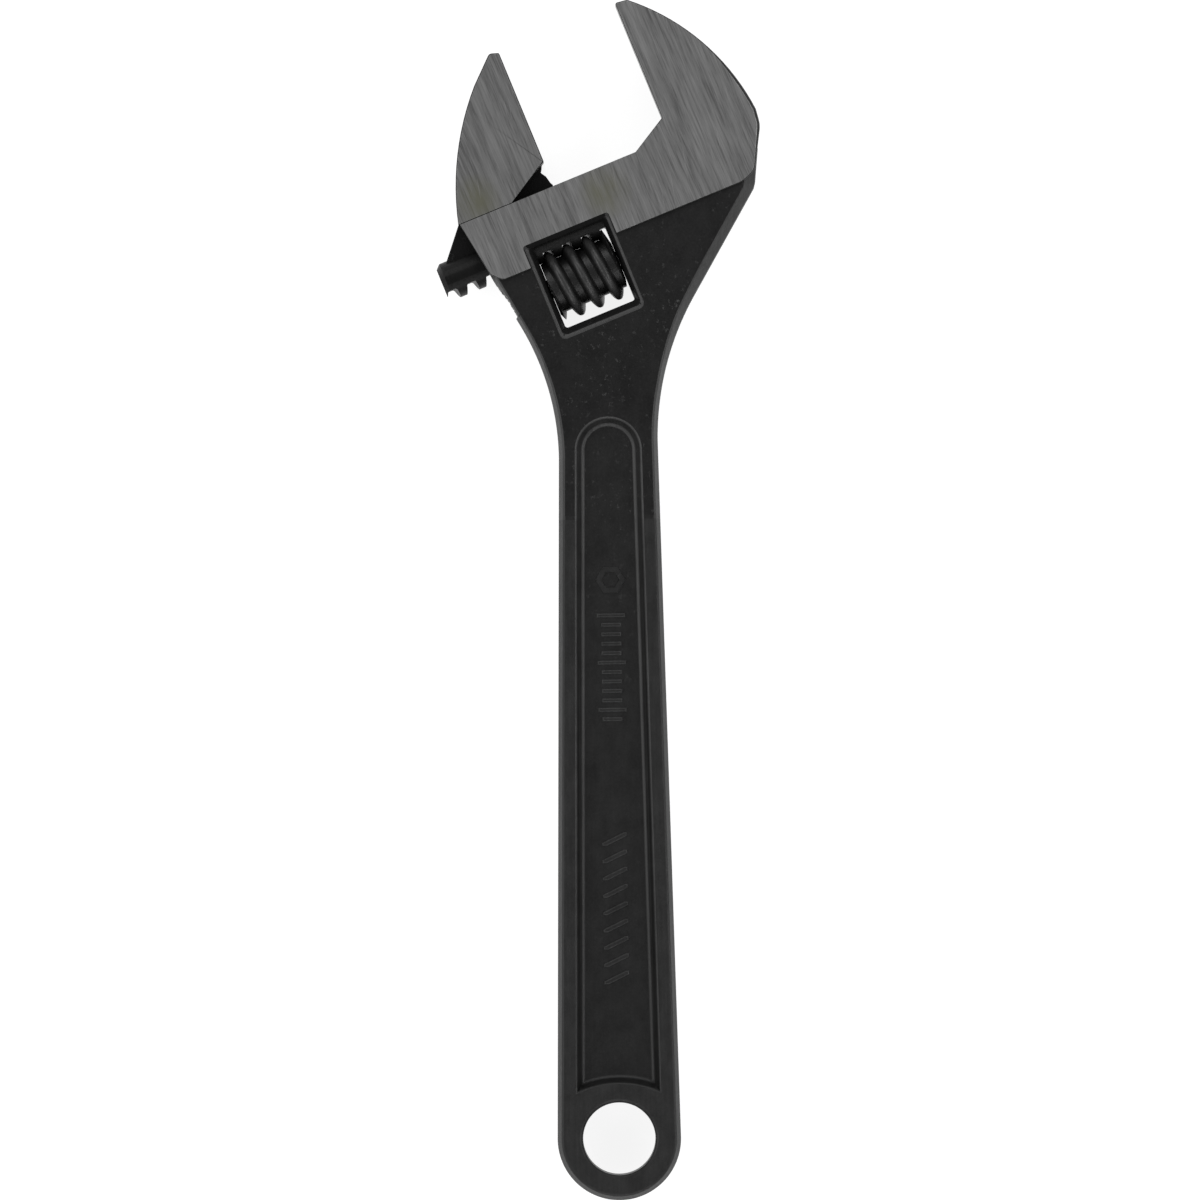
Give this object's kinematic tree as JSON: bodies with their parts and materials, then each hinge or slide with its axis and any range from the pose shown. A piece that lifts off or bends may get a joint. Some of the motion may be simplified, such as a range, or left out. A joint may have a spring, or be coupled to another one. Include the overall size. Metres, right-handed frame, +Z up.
{
  "type": "adjustable wrench",
  "caption": "Adjustable wrench with a forged handle, a fixed jaw, a sliding jaw driven by a thumb-turned worm, and a hanging hole.",
  "frame": {"origin": "middle of the footprint on the surface the wrench lies on, at rest with the jaws open 32 mm", "axes": "+Y along the handle from the hanging hole to the head, +Z up through the thickness, +X to the back of the fixed jaw"},
  "size_m": [0.0828, 0.3048, 0.0184],
  "materials": {
    "black_forging": "black phosphate over forged steel, satin, with ground faces on the head",
    "ground_steel": "ground steel with a fine straight grain",
    "black_worm": "black phosphate, satin",
    "pin_steel": "dark steel, satin",
    "spring_steel": "bright spring wire"
  },
  "bodies": {
    "wrench_body": {"wrench_body": "black_forging", "worm_pin": "pin_steel", "worm_spring": "spring_steel"},
    "movable_jaw": {"movable_jaw": "ground_steel"},
    "adjusting_worm": {"adjusting_worm": "black_worm"}
  },
  "joints": [
    {"name": "jaw_slide", "type": "slide", "parent": "wrench_body", "child": "movable_jaw", "axis": [-0.9304, -0.3665, 0], "range_m": [-0.0317, 0.003]},
    {"name": "worm_spin", "type": "hinge", "parent": "wrench_body", "child": "adjusting_worm", "pos_m": [-0.00383, 0.08278, 0.0092], "axis": [0.9304, 0.3665, 0], "range_deg": [-2200, 210]}
  ],
  "couplings": [
    {"joint": "worm_spin", "follows": "jaw_slide", "rad_per_m": 1208.3}
  ]
}
